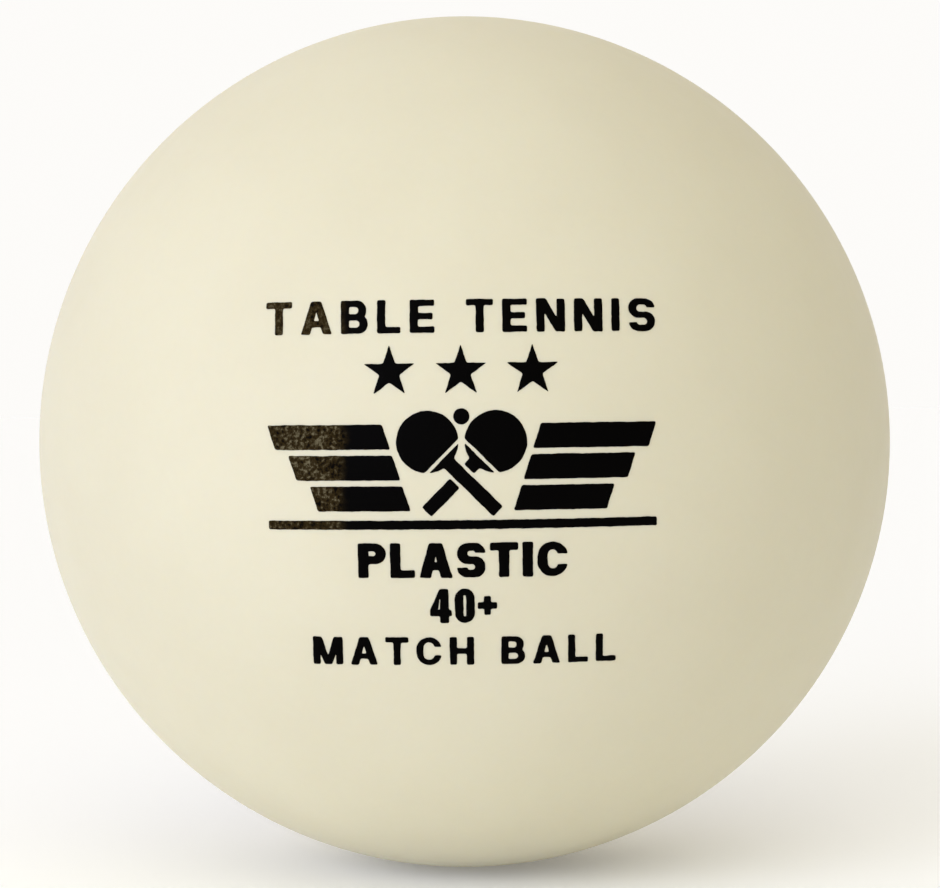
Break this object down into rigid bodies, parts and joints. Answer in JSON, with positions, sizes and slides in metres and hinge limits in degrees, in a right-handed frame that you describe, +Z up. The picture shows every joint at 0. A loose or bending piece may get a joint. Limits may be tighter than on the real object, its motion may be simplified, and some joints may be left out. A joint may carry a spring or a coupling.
{
  "type": "table tennis ball",
  "caption": "Hollow ivory plastic table tennis ball, two moulded half shells cemented over an inner spigot, with a black pad-printed face.",
  "frame": {"origin": "centre of the ball", "axes": "+Z up, the printed face looks along -Y, and +X is to the right of a viewer who reads the print; the seam lies in the XZ plane"},
  "size_m": [0.0402, 0.0404, 0.0402],
  "materials": {
    "ball_shell": "matte, finely tumbled ivory ABS plastic",
    "seam_cement": "cured solvent cement, ground flush",
    "print_ink": "matt black pad-printing ink"
  },
  "bodies": {
    "root": {"front_half_shell": "ball_shell", "rear_half_shell": "ball_shell", "seam_cement": "seam_cement", "top_line_ink": "print_ink", "grade_stars_ink": "print_ink", "emblem_ink": "print_ink", "bold_line_ink": "print_ink", "size_mark_ink": "print_ink", "bottom_line_ink": "print_ink"}
  },
  "joints": []
}
